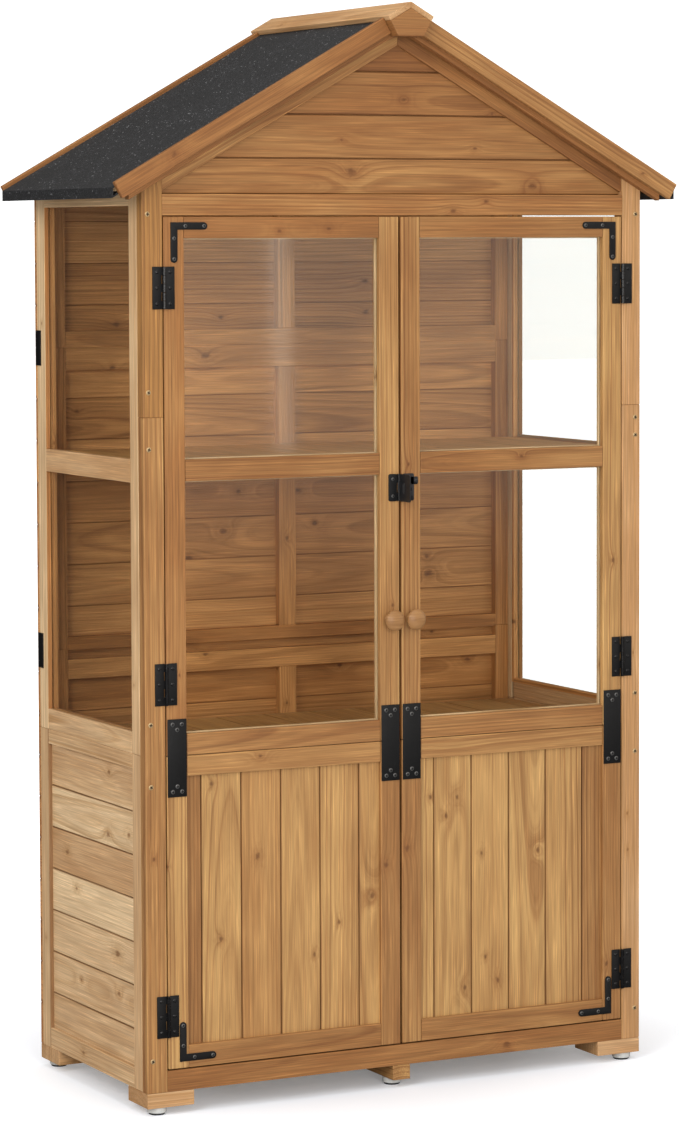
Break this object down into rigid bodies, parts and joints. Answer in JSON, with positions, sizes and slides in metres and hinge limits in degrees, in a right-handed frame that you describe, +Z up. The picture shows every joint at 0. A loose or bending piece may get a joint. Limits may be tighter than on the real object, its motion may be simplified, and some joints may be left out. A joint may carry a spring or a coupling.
{
  "type": "mini greenhouse",
  "caption": "Tall wooden mini greenhouse cabinet with a felted gable roof, glazed upper walls, boarded lower walls, hinged glazed doors, inner shelves and a hasp.",
  "frame": {"origin": "under the middle of the bounding box, on the plane of the glides' undersides", "axes": "+Z up, -Y towards the front with the doors, +X to the right seen from the front"},
  "size_m": [0.967, 0.478, 1.6672],
  "materials": {
    "golden_fir": "golden-brown stained fir, satin, streaky grain with knots",
    "pale_fir": "light golden stained fir, satin",
    "red_fir": "darker reddish stained fir boards, satin",
    "turned_wood": "pale turned wood, smooth",
    "roof_felt": "granular bituminous roofing felt, matt near-black",
    "black_iron": "satin black coated steel",
    "clear_sheet": "clear glazing sheet with hazy reflections"
  },
  "bodies": {
    "carcass": {"back_panel_lower": "red_fir", "back_panel_middle": "red_fir", "back_panel_upper": "red_fir", "barge_board_back_left": "pale_fir", "barge_board_back_right": "pale_fir", "barge_board_front_left": "pale_fir", "barge_board_front_right": "pale_fir", "floor_boards": "red_fir", "foot_back_left": "golden_fir", "foot_back_right": "golden_fir", "foot_beam_centre": "golden_fir", "foot_front_left": "golden_fir", "foot_front_right": "golden_fir", "gable_front": "red_fir", "hinge_left_lower_post_leaf": "black_iron", "hinge_left_middle_post_leaf": "black_iron", "hinge_left_upper_post_leaf": "black_iron", "hinge_right_lower_post_leaf": "black_iron", "hinge_right_middle_post_leaf": "black_iron", "hinge_right_upper_post_leaf": "black_iron", "post_lower_left": "golden_fir", "post_lower_right": "golden_fir", "post_upper_left": "golden_fir", "post_upper_right": "golden_fir", "rail_front_bottom": "golden_fir", "rail_front_top": "golden_fir", "ridge_cap": "pale_fir", "roof_deck_left": "golden_fir", "roof_deck_right": "golden_fir", "roof_felt": "roof_felt", "shelf_lower": "red_fir", "shelf_middle": "red_fir", "side_frame_upper_left": "pale_fir", "side_frame_upper_right": "pale_fir", "side_pane_left": "clear_sheet", "side_pane_right": "clear_sheet", "side_panel_lower_left": "pale_fir", "side_panel_lower_right": "pale_fir"},
    "left_door": {"door_left_frame_upper": "golden_fir", "door_left_knob": "turned_wood", "door_left_pane": "clear_sheet", "door_left_panel_lower": "golden_fir", "door_left_plate_hinge_side": "black_iron", "door_left_plate_meeting_side": "black_iron", "hasp_plate": "black_iron", "hinge_left_lower_door_leaf": "black_iron", "hinge_left_middle_door_leaf": "black_iron", "hinge_left_upper_door_leaf": "black_iron"},
    "right_door": {"door_right_frame_upper": "golden_fir", "door_right_knob": "turned_wood", "door_right_pane": "clear_sheet", "door_right_panel_lower": "golden_fir", "door_right_plate_hinge_side": "black_iron", "door_right_plate_meeting_side": "black_iron", "hasp_staple": "black_iron", "hinge_right_lower_door_leaf": "black_iron", "hinge_right_middle_door_leaf": "black_iron", "hinge_right_upper_door_leaf": "black_iron"},
    "hasp_swing": {"hasp_strap": "black_iron"}
  },
  "joints": [
    {"name": "left_door_swing", "type": "hinge", "parent": "carcass", "child": "left_door", "pos_m": [-0.396, -0.2023, 0.7], "axis": [0, 0, -1], "range_deg": [0, 180]},
    {"name": "right_door_swing", "type": "hinge", "parent": "carcass", "child": "right_door", "pos_m": [0.396, -0.2023, 0.7], "axis": [0, 0, 1], "range_deg": [0, 180]},
    {"name": "hasp_flip", "type": "hinge", "parent": "left_door", "child": "hasp_swing", "pos_m": [-0.0036, -0.2016, 0.9296], "axis": [0, 0, 1], "range_deg": [-80, 90]}
  ]
}
